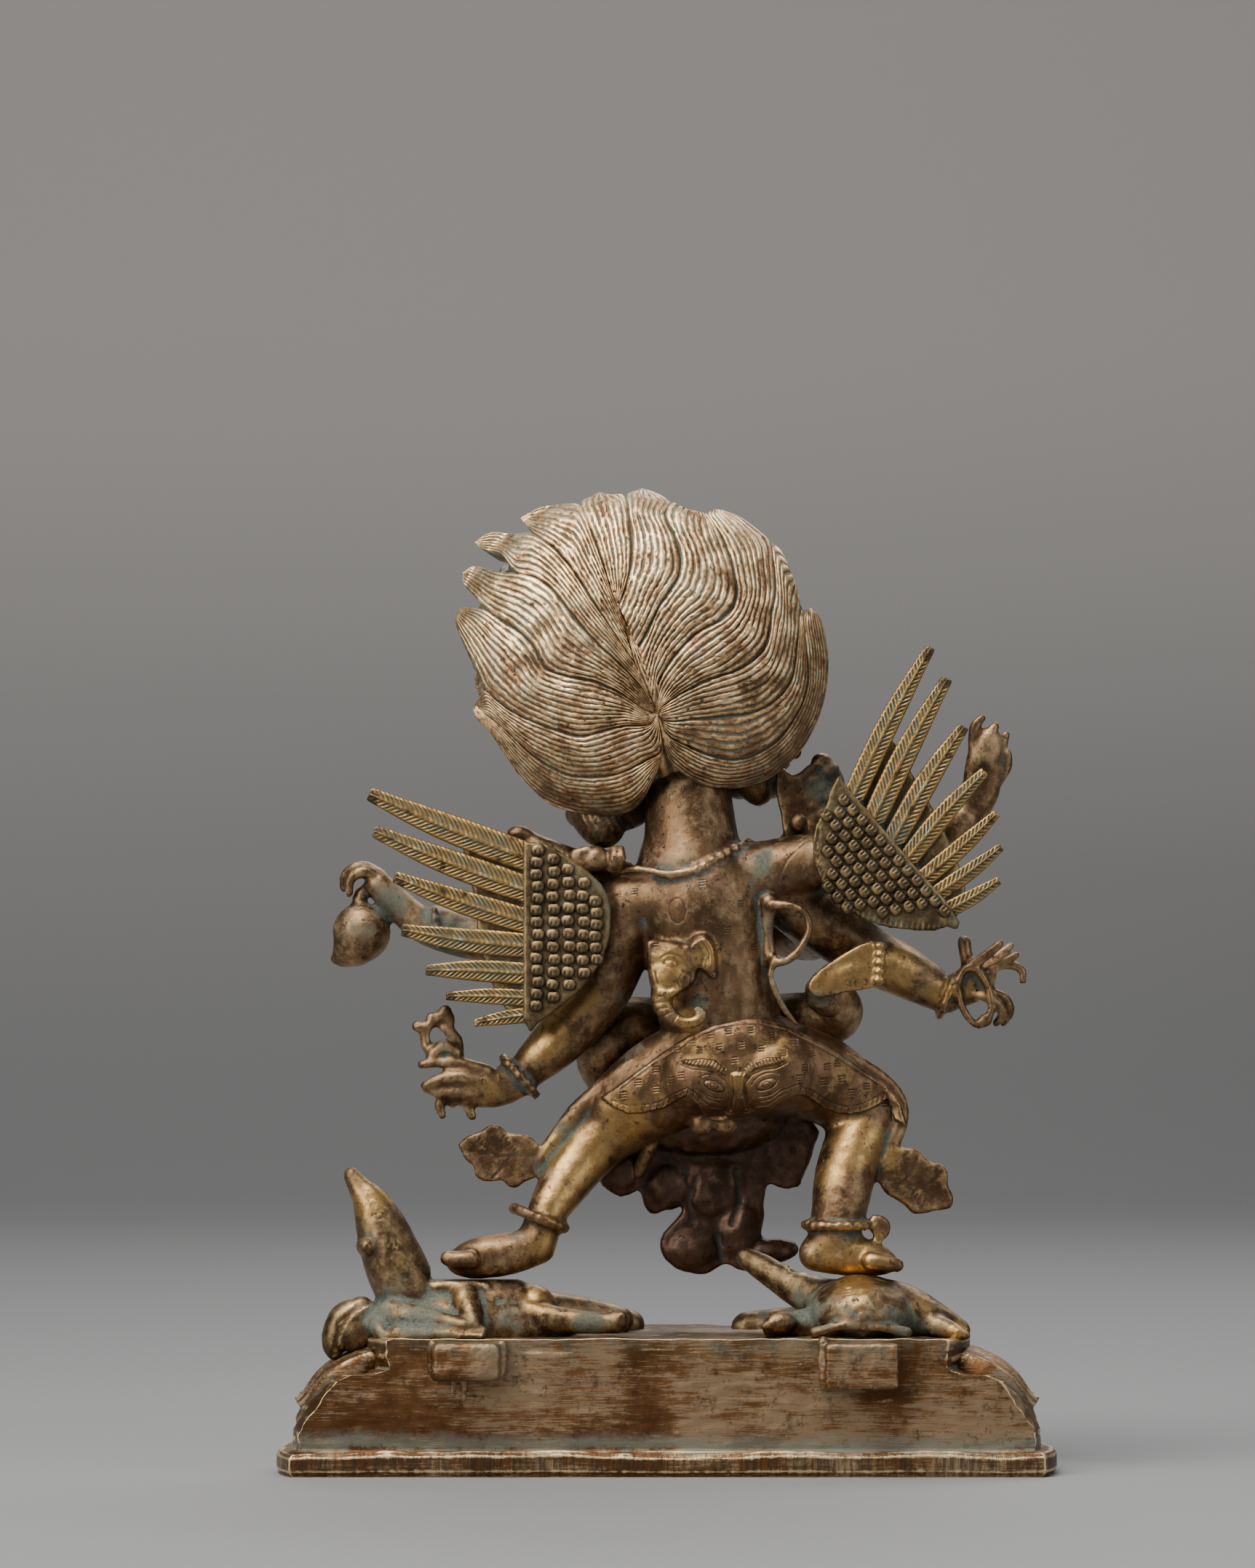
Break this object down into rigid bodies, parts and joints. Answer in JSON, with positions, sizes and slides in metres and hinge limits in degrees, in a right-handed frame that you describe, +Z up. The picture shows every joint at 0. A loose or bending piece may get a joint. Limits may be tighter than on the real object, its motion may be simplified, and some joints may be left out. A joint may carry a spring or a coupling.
{
  "type": "winged protector deity statue",
  "caption": "Cast copper-alloy statue of a winged, many-armed protector deity with flaming hair and consort, striding on prone figures over a lotus plinth.",
  "frame": {"origin": "centre of the plinth's underside", "axes": "+Z up, +Y the way the deity faces, so -Y is the flat back of the plinth, +X to the right when seen from behind"},
  "size_m": [0.2167, 0.0985, 0.2733],
  "materials": {
    "gilt_bronze": "cast copper alloy, worn gilding, brown patina, verdigris in the recesses",
    "brown_bronze": "cast copper alloy, brown patina brushed to tan, bright worn edges, verdigris"
  },
  "bodies": {
    "root": {"deity": "gilt_bronze", "pedestal": "brown_bronze"}
  },
  "joints": []
}
